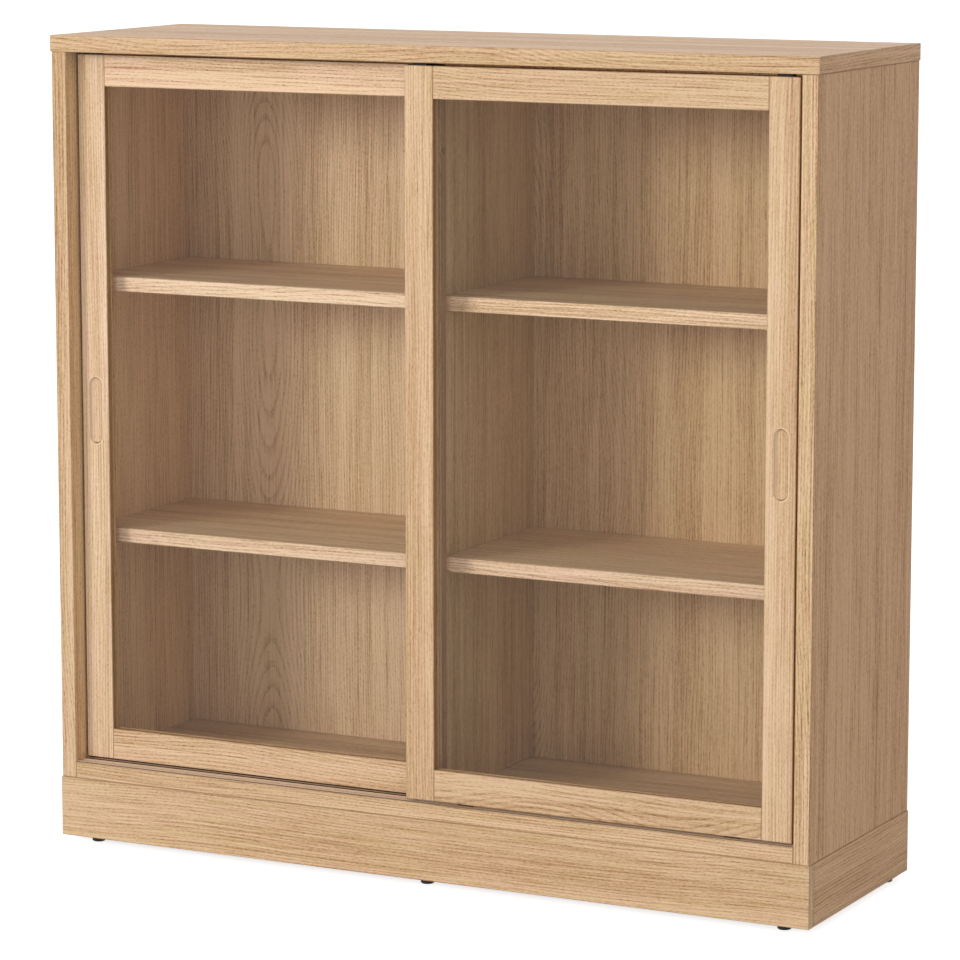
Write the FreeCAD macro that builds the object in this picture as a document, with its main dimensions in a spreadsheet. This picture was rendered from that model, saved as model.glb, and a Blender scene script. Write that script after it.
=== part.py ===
import FreeCAD, Part
import math
import os
import re

from FreeCAD import Placement, Rotation, Vector
from Sketcher import Constraint

# A bookcase on a plinth, 1.2 m wide and high, with two glazed doors that slide past each other.
# Axes: +X to the right seen from the front, +Y to the back, +Z up. The origin is on the floor
# under the middle of the cabinet, so the front is at -cabinet_depth / 2. Sizes are millimetres.

# Driving dimensions. Each becomes a cell of the sheet with this name as its alias.
SIZES = {
    # carcass boards
    "cabinet_width": 1205,
    "cabinet_depth": 370,
    "cabinet_height": 1200,
    "side_thickness": 24,
    "top_thickness": 24,
    "bottom_thickness": 24,
    "divider_thickness": 24,
    "panel_setback": 1.5,
    "divider_setback": 62,
    "edge_chamfer": 0.8,
    # back panels, held in grooves
    "back_thickness": 6,
    "back_inset": 19,
    "back_groove_depth": 8,
    "back_edge_gap": 0.5,
    "back_face_gap": 0.2,
    # shelves
    "shelf_thickness": 22,
    "shelf_setback": 60,
    "shelf_end_gap": 0.5,
    "shelf_back_gap": 0.5,
    "lower_space_height": 327,
    "middle_space_height": 352,
    "pin_radius": 2.5,
    "pin_length": 16,
    "pin_rise": 1,
    "pin_front_inset": 45,
    "pin_back_inset": 40,
    # plinth and feet
    "plinth_height": 89,
    "plinth_thickness": 16,
    "foot_height": 10,
    "foot_radius": 10,
    "foot_chamfer": 1.5,
    "front_foot_margin": 11,
    "front_foot_side_margin": 31.5,
    "rear_foot_margin": 20,
    "rear_foot_side_margin": 3.5,
    "nail_radius": 1.2,
    "nail_length": 22,
    "nail_in_foot": 6,
    "block_width": 46,
    "brace_thickness": 16,
    "brace_rise": 10,
    # door frames
    "door_thickness": 17,
    "door_gap_below": 4,
    "door_gap_above": 4,
    "door_side_gap": 3,
    "door_overlap": 44,
    "front_door_setback": 3,
    "door_pitch": 26.5,
    "stile_width": 45,
    "rail_height": 46,
    # glass
    "glass_thickness": 4,
    "glass_lip": 8,
    "glass_rebate": 8,
    "glass_edge_gap": 1,
    "bead_gap": 0.1,
    # finger recesses
    "recess_width": 20,
    "recess_length": 97,
    "recess_depth": 5,
    "recess_wall": 1,
    "recess_rim_radius": 0.6,
    # door tracks
    "track_setback": 2.5,
    "track_margin": 9,
    "track_end_gap": 0.2,
    "track_fit": 0.2,
    "track_lip": 1.2,
    "track_wall": 1.5,
    "seam_offset": 11.5,
    "seam_width": 6,
    "seam_depth": 4,
    "roller_groove_depth": 5.5,
    "guide_groove_depth": 10,
    # rollers in the doors' bottom rails
    "roller_radius": 13,
    "roller_thickness": 4.4,
    "roller_rim_chamfer": 0.6,
    "roller_play": 0.5,
    "roller_lift": 0.3,
    "roller_inset": 47,
    "roller_end_room": 1.5,
    "roller_side_room": 0.6,
    "roller_headroom": 3.2,
    "axle_radius": 2,
    "axle_fit": 0.05,
    "axle_end_inset": 0.2,
    "housing_end_wall": 2.5,
    "housing_cheek": 2.7,
    "housing_roof": 4,
    "housing_fit": 0.2,
    # guides on the doors' top ends
    "guide_length": 22,
    "guide_width": 13,
    "guide_plate": 3.4,
    "guide_joint_margin": 11,
    "fin_length": 9,
    "fin_thickness": 5.6,
    "fin_play": 0.5,
    "fin_top_gap": 1,
    "guide_screw_offset": 7.8,
    # bumpers on the doors' edges
    "bumper_radius": 4,
    "bumper_thickness": 2.6,
    "bumper_inset": 120,
    # dowels
    "hole_fit": 0.1,
    "end_play": 0.5,
    "dowel_radius": 4,
    "dowel_length": 30,
    "front_dowel_inset": 145,
    "rear_dowel_inset": 115,
    "small_dowel_radius": 3,
    "small_dowel_length": 28,
    "small_dowel_in_board": 10,
    "plinth_dowel_margin": 22,
    "brace_dowel_height": 49,
    "frame_dowel_length": 40,
    "frame_dowel_inset": 15,
    "frame_dowel_spacing": 17,
    # cam fittings
    "front_bolt_inset": 95,
    "rear_bolt_inset": 65,
    "bolt_thread_radius": 2.9,
    "bolt_thread_length": 11,
    "bolt_collar_radius": 3.6,
    "bolt_collar_length": 1.5,
    "bolt_shank_radius": 2.5,
    "bolt_neck_radius": 1.6,
    "bolt_head_radius": 3.2,
    "bolt_head_length": 3,
    "bolt_hole_radius": 4,
    "cam_distance": 24,
    "cam_line_depth": 12,
    "cam_radius": 7.4,
    "cam_depth": 15.8,
    "cam_cavity_radius": 3.9,
    "cam_slot_length": 9,
    "cam_slot_width": 1.4,
    "cam_slot_depth": 3,
    # screws
    "screw_head_height": 3,
    "head_fit": 0.4,
    "divider_screw_radius": 2.4,
    "divider_screw_length": 56,
    "divider_screw_head_radius": 4.5,
    "block_screw_radius": 2,
    "block_screw_length": 38,
    "block_screw_head_radius": 3.6,
    "block_screw_sink": 16,
    "long_screw_inset": 9,
    "long_screw_height": 40,
    "cross_screw_height": 62,
    "floor_screw_radius": 2.2,
    "floor_screw_head_radius": 4,
    "floor_screw_length": 56,
    "floor_screw_bite": 14,
    "floor_screw_inset": 25,
    "floor_screw_row": 11.5,
    "guide_screw_radius": 1.4,
    "guide_screw_length": 14,
    "guide_screw_head_radius": 2.2,
    "guide_screw_head_height": 1.6,
    # wall brackets behind the back panels
    "bracket_inset": 77,
    "bracket_width": 30,
    "bracket_back_gap": 2,
    "bracket_drop": 32,
    "bracket_metal": 2,
    "wall_hole_radius": 2.75,
    "wall_hole_drop": 18,
    "bracket_screw_inset": 10,
    "bracket_screw_radius": 1.9,
    "bracket_screw_length": 14,
    "bracket_screw_head_radius": 3.4,
}

# Places and sizes that follow from the driving dimensions, as formulas over their names.
DERIVED = {
    "front": "-cabinet_depth / 2",
    "rear": "cabinet_depth / 2",
    "half_width": "cabinet_width / 2",
    "outer_face": "half_width - panel_setback",
    "inner_face": "outer_face - side_thickness",
    "side_line": "inner_face + cam_line_depth",
    "divider_face": "divider_thickness / 2",
    "divider_line": "divider_face - cam_line_depth",
    "panel_front": "front + panel_setback",
    "panel_depth": "cabinet_depth - panel_setback",
    "plinth_top": "foot_height + plinth_height",
    "floor_top": "plinth_top + bottom_thickness",
    "floor_line": "plinth_top + cam_line_depth",
    "ceiling": "cabinet_height - top_thickness",
    "divider_front": "front + divider_setback",
    "back_front": "rear - back_inset - back_thickness",
    "back_entry": "back_groove_depth - back_edge_gap",
    "back_groove_front": "back_front - back_face_gap",
    "back_groove_width": "back_thickness + 2 * back_face_gap",
    "back_groove_bottom": "floor_top - back_groove_depth",
    "shelf_front": "front + shelf_setback",
    "shelf_depth": "back_front - shelf_back_gap - shelf_front",
    "shelf_width": "inner_face - divider_face - 2 * shelf_end_gap",
    "lower_shelf_bottom": "floor_top + lower_space_height",
    "upper_shelf_bottom": "lower_shelf_bottom + shelf_thickness + middle_space_height",
    "plinth_inner": "half_width - plinth_thickness",
    "plinth_front_inner": "front + plinth_thickness",
    "plinth_rear_inner": "rear - plinth_thickness",
    "brace_height": "plinth_height - brace_rise",
    "floor_screw_sink": "plinth_height + floor_screw_bite + screw_head_height - floor_screw_length",
    "small_hole_radius": "small_dowel_radius + hole_fit",
    "nail_hole_radius": "nail_radius + hole_fit / 2",
    "door_width": "inner_face + door_overlap / 2 - door_side_gap",
    "door_bottom": "floor_top + door_gap_below",
    "door_top": "ceiling - door_gap_above",
    "door_height": "door_top - door_bottom",
    "door_middle": "door_thickness / 2",
    "left_door_start": "-inner_face + door_side_gap",
    "right_door_start": "inner_face - door_side_gap - door_width",
    "front_door_face": "front + front_door_setback",
    "rear_door_face": "front_door_face + door_pitch",
    "front_track_line": "front_door_face + door_middle",
    "rear_track_line": "rear_door_face + door_middle",
    "rail_length": "door_width - 2 * stile_width",
    "recess_half_length": "(recess_length - recess_width) / 2",
    "recess_cove_radius": "recess_depth - recess_wall",
    "rebate_width": "rail_length + 2 * glass_rebate",
    "rebate_height": "door_height - 2 * rail_height + 2 * glass_rebate",
    "bead_width": "glass_rebate - bead_gap",
    "bead_depth": "door_thickness - glass_lip - glass_thickness - 2 * bead_gap",
    "track_front": "front + track_setback",
    "track_start": "-inner_face + track_end_gap",
    "track_width": "door_pitch + 2 * track_margin",
    "track_length": "2 * inner_face - 2 * track_end_gap",
    "roller_groove_width": "roller_thickness + 2 * roller_play",
    "guide_groove_width": "fin_thickness + 2 * fin_play",
    "guide_channel_width": "guide_groove_width + 2 * track_wall",
    "guide_channel_depth": "guide_groove_depth + track_wall",
    "seam_line": "rear_track_line - seam_offset",
    "roller_axis": "floor_top - roller_groove_depth + roller_lift + roller_radius",
    "roller_rise": "roller_axis - door_bottom",
    "cavity_length": "2 * roller_radius + 2 * roller_end_room",
    "cavity_width": "roller_thickness + 2 * roller_side_room",
    "cavity_height": "roller_rise + roller_radius + roller_headroom",
    "housing_length": "cavity_length + 2 * housing_end_wall",
    "housing_width": "cavity_width + 2 * housing_cheek",
    "housing_height": "cavity_height + housing_roof",
    "axle_length": "housing_width - 2 * axle_end_inset",
    "guide_center": "stile_width - guide_joint_margin - guide_length / 2",
    "fin_height": "ceiling + guide_groove_depth - fin_top_gap - door_top",
    "bracket_center": "inner_face - bracket_inset",
    "bracket_depth": "back_inset - bracket_back_gap",
}

doc = FreeCAD.newDocument("bookcase")
sheet = doc.addObject("Spreadsheet::Sheet", "Sizes")
for row, (alias, size) in enumerate(SIZES.items(), start=1):
    sheet.set(f"A{row}", alias)
    sheet.set(f"B{row}", str(size))
    sheet.setAlias(f"B{row}", alias)
doc.recompute()

subparts = []

RIGHT = (1, 0, 0)
LEFT = (-1, 0, 0)
BACK = (0, 1, 0)
FORTH = (0, -1, 0)
UP = (0, 0, 1)
DOWN = (0, 0, -1)
ORIGIN = ("0", "0", "0")


def formula(text):
    """The text as an expression over the sheet's cells, with every derived name written out."""

    def written_out(match):
        word = match.group()
        if word in SIZES:
            return f"Sizes.{word}"
        return f"({formula(DERIVED[word])})"

    return re.sub(r"[a-z][a-z_]+", written_out, str(text))


def bind(obj, **formulas):
    """Ties properties to formulas; Placement_Base_x stands for Placement.Base.x."""
    for name, text in formulas.items():
        obj.setExpression(name.replace("_Base_", ".Base."), formula(text))


def place(obj, point, axis=UP, side=None):
    """Turns the object so that its +Z runs along the axis and its +X along the side, at the point."""
    if side is None:
        rotation = Rotation(Vector(*UP), Vector(*axis))
    else:
        rotation = Rotation(Vector(*side), Vector(), Vector(*axis), "ZXY")
    obj.Placement = Placement(Vector(), rotation)
    bind(obj, Placement_Base_x=point[0], Placement_Base_y=point[1], Placement_Base_z=point[2])


def opposite(axis):
    return tuple(-step for step in axis)


def moved(point, axis, distance):
    """The point moved by a distance, given as a formula, along an axis."""
    return tuple(f"({start}) + ({step}) * ({distance})" for start, step in zip(point, axis))


class Piece:
    """One solid built in a body of its own. Its features are given in the cabinet's frame."""

    def __init__(self, label, origin=ORIGIN, keep=True):
        self.label = label
        self.origin = origin
        self.body = doc.addObject("PartDesign::Body", label)
        self.body.Label = label
        place(self.body, origin)
        if keep:
            subparts.append(self.body)

    def local(self, point):
        return tuple(f"({there}) - ({here})" for there, here in zip(point, self.origin))

    def add(self, kind):
        number = len(self.body.Group)
        return self.body.newObject(f"PartDesign::{kind}", f"{self.label}_{kind.lower()}_{number}")

    def block(self, corner, size, kind="AdditiveBox"):
        box = self.add(kind)
        place(box, self.local(corner))
        bind(box, Length=size[0], Width=size[1], Height=size[2])
        return box

    def slot(self, corner, size):
        return self.block(corner, size, "SubtractiveBox")

    def round(self, start, axis, radius, length, kind="AdditiveCylinder"):
        cylinder = self.add(kind)
        place(cylinder, self.local(start), axis)
        bind(cylinder, Radius=radius, Height=length)
        return cylinder

    def bore(self, start, axis, radius, length):
        return self.round(start, axis, radius, length, "SubtractiveCylinder")

    def chamfer(self, edges, size):
        doc.recompute()
        bevel = self.add("Chamfer")
        bevel.Base = (self.body.Group[-2], edges)
        bind(bevel, Size=size)
        return bevel


def board(label, corner, size, keep=True):
    """A board with all its edges eased."""
    piece = Piece(label, corner, keep)
    piece.block(corner, size)
    piece.chamfer([f"Edge{number}" for number in range(1, 13)], "edge_chamfer")
    return piece


def copies(label, original, places):
    """A sub-part of several equal solids: a compound of links to the original, one per place."""
    links = []
    for number, spot in enumerate(places, start=1):
        link = doc.addObject("App::Link", f"{label}_{number}")
        link.LinkedObject = original.body
        place(link, *spot)
        links.append(link)
    return group(label, links)


def group(label, members):
    compound = doc.addObject("Part::Compound", label)
    compound.Label = label
    compound.Links = members
    subparts.append(compound)
    return compound


def edges_inside(shape, box):
    """Names of the shape's edges that lie inside the box."""
    return [
        f"Edge{number}"
        for number, edge in enumerate(shape.Edges, start=1)
        if box.isInside(edge.BoundBox)
    ]


# ---- carcass boards -------------------------------------------------------------------------

top_panel = board(
    "top_panel",
    ("-half_width", "front", "ceiling"),
    ("cabinet_width", "cabinet_depth", "top_thickness"),
)
bottom_panel = board(
    "bottom_panel",
    ("-inner_face", "panel_front", "plinth_top"),
    ("2 * inner_face", "panel_depth", "bottom_thickness"),
)
side_size = ("side_thickness", "panel_depth", "ceiling - plinth_top")
left_side = board("left_side_panel", ("-outer_face", "panel_front", "plinth_top"), side_size)
right_side = board("right_side_panel", ("inner_face", "panel_front", "plinth_top"), side_size)
divider = board(
    "center_divider",
    ("-divider_face", "divider_front", "floor_top"),
    ("divider_thickness", "rear - divider_front", "ceiling - floor_top"),
)

# ---- back panels, slid into grooves all round -----------------------------------------------

top_panel.slot(
    ("-inner_face - back_groove_depth", "back_groove_front", "ceiling"),
    ("2 * inner_face + 2 * back_groove_depth", "back_groove_width", "back_groove_depth"),
)
bottom_panel.slot(
    ("-inner_face", "back_groove_front", "back_groove_bottom"),
    ("2 * inner_face", "back_groove_width", "back_groove_depth"),
)
for upright, groove_start, groove_bottom in (
    (left_side, "-inner_face - back_groove_depth", "back_groove_bottom"),
    (divider, "-divider_face", "floor_top"),
    (divider, "divider_face - back_groove_depth", "floor_top"),
    (right_side, "inner_face", "back_groove_bottom"),
):
    upright.slot(
        (groove_start, "back_groove_front", groove_bottom),
        ("back_groove_depth", "back_groove_width", f"ceiling - {groove_bottom}"),
    )

for label, space_start in (("left_back_panel", "-inner_face"), ("right_back_panel", "divider_face")):
    back = Piece(label, (f"{space_start} - back_entry", "back_front", "floor_top - back_entry"))
    back.block(
        back.origin,
        (
            "inner_face - divider_face + 2 * back_entry",
            "back_thickness",
            "ceiling - floor_top + 2 * back_entry",
        ),
    )

# ---- shelves on pins ------------------------------------------------------------------------

shelf_pin = Piece("shelf_pin", keep=False)
shelf_pin.round(ORIGIN, UP, "pin_radius", "pin_length")
pin_spots = []


def shelf_on_pins(label, bottom, left_upright, left_face, right_upright, right_face):
    """A shelf whose underside rests on pins that are half sunk in it and stand out of the uprights."""
    corner = (f"{left_face} + shelf_end_gap", "shelf_front", bottom)
    shelf = board(label, corner, ("shelf_width", "shelf_depth", "shelf_thickness"))
    for upright, face in ((left_upright, left_face), (right_upright, right_face)):
        for row in ("shelf_front + pin_front_inset", "back_front - pin_back_inset"):
            pin_start = (f"{face} - pin_length / 2", row, f"{bottom} + pin_rise")
            hole_start = moved(pin_start, LEFT, "end_play")
            for holder in (upright, shelf):
                holder.bore(hole_start, RIGHT, "pin_radius + hole_fit", "pin_length + 2 * end_play")
            pin_spots.append((pin_start, RIGHT))


for level in ("upper", "lower"):
    shelf_bottom = f"{level}_shelf_bottom"
    left_space = (left_side, "-inner_face", divider, "-divider_face")
    right_space = (divider, "divider_face", right_side, "inner_face")
    shelf_on_pins(f"left_{level}_shelf", shelf_bottom, *left_space)
    shelf_on_pins(f"right_{level}_shelf", shelf_bottom, *right_space)

copies("shelf_pins", shelf_pin, pin_spots)

# ---- plinth ---------------------------------------------------------------------------------

front_plinth = board(
    "front_plinth_board",
    ("-half_width", "front", "foot_height"),
    ("cabinet_width", "plinth_thickness", "plinth_height"),
)
side_plinth_size = ("plinth_thickness", "rear - plinth_front_inner", "plinth_height")
left_plinth = board(
    "left_plinth_board",
    ("-half_width", "plinth_front_inner", "foot_height"),
    side_plinth_size,
)
right_plinth = board(
    "right_plinth_board",
    ("plinth_inner", "plinth_front_inner", "foot_height"),
    side_plinth_size,
)
rear_plinth = board(
    "rear_plinth_board",
    ("-plinth_inner", "plinth_rear_inner", "foot_height"),
    ("2 * plinth_inner", "plinth_thickness", "plinth_height"),
)
brace = board(
    "plinth_brace",
    ("-brace_thickness / 2", "plinth_front_inner + block_width", "foot_height + brace_rise"),
    ("brace_thickness", "plinth_rear_inner - plinth_front_inner - 2 * block_width", "brace_height"),
)

plinth_dowel = Piece("plinth_dowel", keep=False)
plinth_dowel.round(ORIGIN, UP, "small_dowel_radius", "small_dowel_length")
plinth_dowel_spots = []


def plinth_dowel_joint(thin_board, other, joint_point, axis):
    """A dowel from a little way inside the thin board, along the axis into the other piece."""
    start = moved(joint_point, axis, "-small_dowel_in_board")
    hole_start = moved(start, axis, "-end_play")
    for holder in (thin_board, other):
        holder.bore(hole_start, axis, "small_hole_radius", "small_dowel_length + 2 * end_play")
    plinth_dowel_spots.append((start, axis))


for height in ("foot_height + plinth_dowel_margin", "plinth_top - plinth_dowel_margin"):
    for sign, side_board, inward in ((-1, left_plinth, RIGHT), (1, right_plinth, LEFT)):
        side_column = f"{sign} * (half_width - plinth_thickness / 2)"
        front_joint = (side_column, "plinth_front_inner", height)
        rear_joint = (f"{sign} * plinth_inner", "rear - plinth_thickness / 2", height)
        plinth_dowel_joint(front_plinth, side_board, front_joint, BACK)
        plinth_dowel_joint(side_board, rear_plinth, rear_joint, inward)

# The feet are glides nailed under blocks that are screwed into the plinth's corners and middle.

foot = Piece("foot", keep=False)
foot.round(ORIGIN, UP, "foot_radius", "foot_height")
foot.chamfer(["Edge2"], "foot_chamfer")
foot.bore(
    ("0", "0", "foot_height - nail_in_foot - end_play"),
    UP,
    "nail_hole_radius",
    "nail_in_foot + end_play",
)
foot_nail = Piece("foot_nail", keep=False)
foot_nail.round(ORIGIN, UP, "nail_radius", "nail_length")

blocks = []
foot_spots = []
nail_spots = []
block_screw_spots = []
floor_screw_spots = []


def screw(kind, head_height="screw_head_height"):
    """A screw along +Z with its head's outer face at the origin, sized by the kind's own cells."""
    piece = Piece(kind, keep=False)
    piece.round(ORIGIN, UP, f"{kind}_head_radius", head_height)
    piece.round(ORIGIN, UP, f"{kind}_radius", f"{kind}_length")
    return piece


def drive_screw(kind, spots, holders, face_point, axis, sink):
    """Sinks a screw's head to the given depth from the first holder's face and bores its way."""
    head_end = moved(face_point, axis, f"{sink} - screw_head_height")
    holders[0].bore(face_point, axis, f"{kind}_head_radius + head_fit", sink)
    for holder in holders:
        holder.bore(head_end, axis, f"{kind}_radius + hole_fit", f"{kind}_length + end_play")
    spots.append((head_end, axis))


def plinth_block(name, corner, foot_column, foot_row):
    """A block that reaches from the feet to the bottom panel, with a foot nailed under it."""
    block = board(name, corner, ("block_width", "block_width", "plinth_height"), keep=False)
    block.bore(
        (foot_column, foot_row, "foot_height"),
        UP,
        "nail_hole_radius",
        "nail_length - nail_in_foot + end_play",
    )
    blocks.append(block.body)
    foot_spots.append(((foot_column, foot_row, "0"),))
    nail_spots.append(((foot_column, foot_row, "foot_height - nail_in_foot"),))
    return block


def block_row(end, long_board, outward, free_face):
    """The blocks along the front or rear plinth board; outward points from them to that board."""
    block_start = f"{free_face} - block_width" if outward == FORTH else free_face
    toward = f"({outward[1]})"
    board_face = f"{free_face} + {toward} * block_width"
    foot_row = f"{board_face} - {toward} * {end}_foot_margin"
    floor_screw_line = f"{free_face} + {toward} * floor_screw_row"
    for name, sign in (("left", -1), ("middle", 0), ("right", 1)):
        if sign:
            near_face = f"{sign} * (plinth_inner - block_width)"
            block_left = "-plinth_inner" if sign < 0 else near_face
            long_screw_column = f"{near_face} + {sign} * long_screw_inset"
            floor_screw_column = f"{near_face} + {sign} * floor_screw_inset"
        else:
            block_left = "-block_width / 2"
            long_screw_column = "-block_width / 2 + long_screw_inset"
            floor_screw_column = "block_width / 2 - long_screw_inset"
        foot_column = f"{sign} * (plinth_inner - {end}_foot_side_margin)"
        corner = (block_left, block_start, "foot_height")
        block = plinth_block(f"{end}_{name}_block", corner, foot_column, foot_row)

        long_screw_point = (long_screw_column, free_face, "foot_height + long_screw_height")
        long_pair = (block, long_board)
        drive_screw(
            "block_screw", block_screw_spots, long_pair, long_screw_point, outward, "block_screw_sink"
        )
        floor_screw_point = (floor_screw_column, floor_screw_line, "foot_height")
        floor_pair = (block, bottom_panel)
        drive_screw(
            "floor_screw", floor_screw_spots, floor_pair, floor_screw_point, UP, "floor_screw_sink"
        )
        if sign:
            side_board, side_axis = (left_plinth, LEFT) if sign < 0 else (right_plinth, RIGHT)
            cross_row = f"{free_face} + {toward} * block_width / 2"
            cross_point = (near_face, cross_row, "foot_height + cross_screw_height")
            side_pair = (block, side_board)
            drive_screw(
                "block_screw", block_screw_spots, side_pair, cross_point, side_axis, "block_screw_sink"
            )
        else:
            brace_joint = ("0", free_face, "foot_height + brace_dowel_height")
            plinth_dowel_joint(block, brace, brace_joint, opposite(outward))


block_row("front", front_plinth, FORTH, "(plinth_front_inner + block_width)")
block_row("rear", rear_plinth, BACK, "(plinth_rear_inner - block_width)")

group("plinth_blocks", blocks)
copies("plinth_dowels", plinth_dowel, plinth_dowel_spots)
copies("plinth_block_screws", screw("block_screw"), block_screw_spots)
copies("plinth_floor_screws", screw("floor_screw"), floor_screw_spots)
copies("feet", foot, foot_spots)
copies("foot_nails", foot_nail, nail_spots)

# ---- dowels, cam fittings and screws that join the carcass ----------------------------------

dowel = Piece("carcass_dowel", keep=False)
dowel.round(ORIGIN, UP, "dowel_radius", "dowel_length")
dowel_spots = []

cam_bolt = Piece("cam_bolt", keep=False)
cam_bolt.round(("0", "0", "-bolt_thread_length"), UP, "bolt_thread_radius", "bolt_thread_length")
cam_bolt.round(ORIGIN, UP, "bolt_collar_radius", "bolt_collar_length")
cam_bolt.round(ORIGIN, UP, "bolt_shank_radius", "cam_distance - cam_radius")
cam_bolt.round(ORIGIN, UP, "bolt_neck_radius", "cam_distance")
cam_bolt.round(
    ("0", "0", "cam_distance - bolt_head_length / 2"), UP, "bolt_head_radius", "bolt_head_length"
)

# The bolt's head lies in a cross cavity of the disc, which is turned with a driver in its slot.
cam_disc = Piece("cam_disc", keep=False)
cam_disc.round(ORIGIN, UP, "cam_radius", "cam_depth")
cam_disc.bore(
    ("-bolt_head_radius - end_play", "0", "cam_line_depth"), RIGHT, "cam_cavity_radius", "2 * cam_radius"
)
cam_disc.slot(
    ("-cam_slot_length / 2", "-cam_slot_width / 2", "0"),
    ("cam_slot_length", "cam_slot_width", "cam_slot_depth"),
)
bolt_spots = []
cam_spots = []


def dowel_joint(first, second, joint_point, axis):
    start = moved(joint_point, axis, "-dowel_length / 2")
    hole_start = moved(start, axis, "-end_play")
    for holder in (first, second):
        holder.bore(hole_start, axis, "dowel_radius + hole_fit", "dowel_length + 2 * end_play")
    dowel_spots.append((start, axis))


def cam_joint(bolt_board, cam_board, joint_point, axis, cam_axis):
    """A bolt from one board's face along the axis, pulled in by a disc sunk in the other board."""
    thread_axis = opposite(axis)
    bolt_board.bore(
        joint_point, thread_axis, "bolt_thread_radius + hole_fit", "bolt_thread_length + end_play"
    )
    cam_board.bore(joint_point, axis, "bolt_hole_radius", "cam_distance + bolt_head_length")
    cam_face = moved(moved(joint_point, axis, "cam_distance"), cam_axis, "-cam_line_depth")
    cam_board.bore(cam_face, cam_axis, "cam_radius + hole_fit", "cam_depth + hole_fit")
    bolt_spots.append((joint_point, axis))
    cam_spots.append((cam_face, cam_axis, thread_axis))


bolt_rows = ("front + front_bolt_inset", "rear - rear_bolt_inset")
dowel_rows = ("front + front_dowel_inset", "rear - rear_dowel_inset")
uprights = (
    (left_side, "-side_line", LEFT),
    (divider, "divider_line", LEFT),
    (right_side, "side_line", RIGHT),
)
divider_screw_spots = []
for bolt_row, dowel_row in zip(bolt_rows, dowel_rows):
    for upright, column, cam_axis in uprights:
        cam_joint(top_panel, upright, (column, bolt_row, "ceiling"), DOWN, cam_axis)
        dowel_joint(top_panel, upright, (column, dowel_row, "ceiling"), DOWN)
    for side_panel, face, inward in ((left_side, "-inner_face", RIGHT), (right_side, "inner_face", LEFT)):
        cam_joint(side_panel, bottom_panel, (face, bolt_row, "floor_line"), inward, UP)
        dowel_joint(side_panel, bottom_panel, (face, dowel_row, "floor_line"), inward)
    dowel_joint(bottom_panel, divider, ("divider_line", dowel_row, "floor_top"), UP)
    drive_screw(
        "divider_screw",
        divider_screw_spots,
        (bottom_panel, divider),
        ("divider_line", bolt_row, "plinth_top"),
        UP,
        "screw_head_height",
    )

copies("carcass_dowels", dowel, dowel_spots)
copies("cam_bolts", cam_bolt, bolt_spots)
copies("cam_discs", cam_disc, cam_spots)
copies("divider_screws", screw("divider_screw"), divider_screw_spots)

# ---- door tracks, let into the bottom and top panels ----------------------------------------

track_lines = ("front_track_line", "rear_track_line")

bottom_track = Piece("bottom_track", ("track_start", "track_front", "floor_top"))
top_track = Piece("top_track", ("track_start", "track_front", "ceiling"))
for track in (bottom_track, top_track):
    track.block(track.origin, ("track_length", "track_width", "track_lip"))
top_panel.slot(
    ("-inner_face", "track_front - track_fit", "ceiling"),
    ("2 * inner_face", "track_width + 2 * track_fit", "track_lip"),
)

# The rollers' grooves and the seam between the two tracks lie in channels under the lip.
bottom_grooves = [(line, "roller_groove_width", "roller_groove_depth") for line in track_lines]
bottom_grooves.append(("seam_line", "seam_width", "seam_depth"))
for line, groove_width, groove_depth in bottom_grooves:
    channel_start = f"{line} - {groove_width} / 2 - track_wall"
    channel_bottom = f"floor_top - {groove_depth} - track_wall"
    channel_width = f"{groove_width} + 2 * track_wall"
    channel_depth = f"{groove_depth} + track_wall"
    bottom_track.block(
        ("track_start", channel_start, channel_bottom),
        ("track_length", channel_width, channel_depth),
    )
    bottom_panel.slot(
        ("-inner_face", f"{channel_start} - track_fit", f"{channel_bottom} - track_fit"),
        ("2 * inner_face", f"{channel_width} + 2 * track_fit", f"{channel_depth} + track_fit"),
    )
for line, groove_width, groove_depth in bottom_grooves:
    bottom_track.slot(
        ("track_start", f"{line} - {groove_width} / 2", f"floor_top - {groove_depth}"),
        ("track_length", groove_width, f"{groove_depth} + track_lip"),
    )

for line in track_lines:
    guide_channel_start = f"{line} - guide_channel_width / 2"
    top_track.block(
        ("track_start", guide_channel_start, "ceiling"),
        ("track_length", "guide_channel_width", "guide_channel_depth"),
    )
    top_panel.slot(
        ("-inner_face", f"{guide_channel_start} - track_fit", "ceiling"),
        ("2 * inner_face", "guide_channel_width + 2 * track_fit", "guide_channel_depth + track_fit"),
    )
for line in track_lines:
    top_track.slot(
        ("track_start", f"{line} - guide_groove_width / 2", "ceiling"),
        ("track_length", "guide_groove_width", "guide_groove_depth"),
    )

# ---- doors ----------------------------------------------------------------------------------

frame_dowel = Piece("frame_dowel", keep=False)
frame_dowel.round(ORIGIN, UP, "small_dowel_radius", "frame_dowel_length")

axle = Piece("roller_axle", keep=False)
axle.round(ORIGIN, UP, "axle_radius", "axle_length")

housing = Piece("roller_housing", keep=False)
housing.block(
    ("-housing_length / 2", "-housing_width / 2", "0"),
    ("housing_length", "housing_width", "housing_height"),
)
housing.slot(
    ("-cavity_length / 2", "-cavity_width / 2", "0"),
    ("cavity_length", "cavity_width", "cavity_height"),
)
housing.bore(("0", "-housing_width / 2", "roller_rise"), BACK, "axle_radius + axle_fit", "housing_width")

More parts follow.
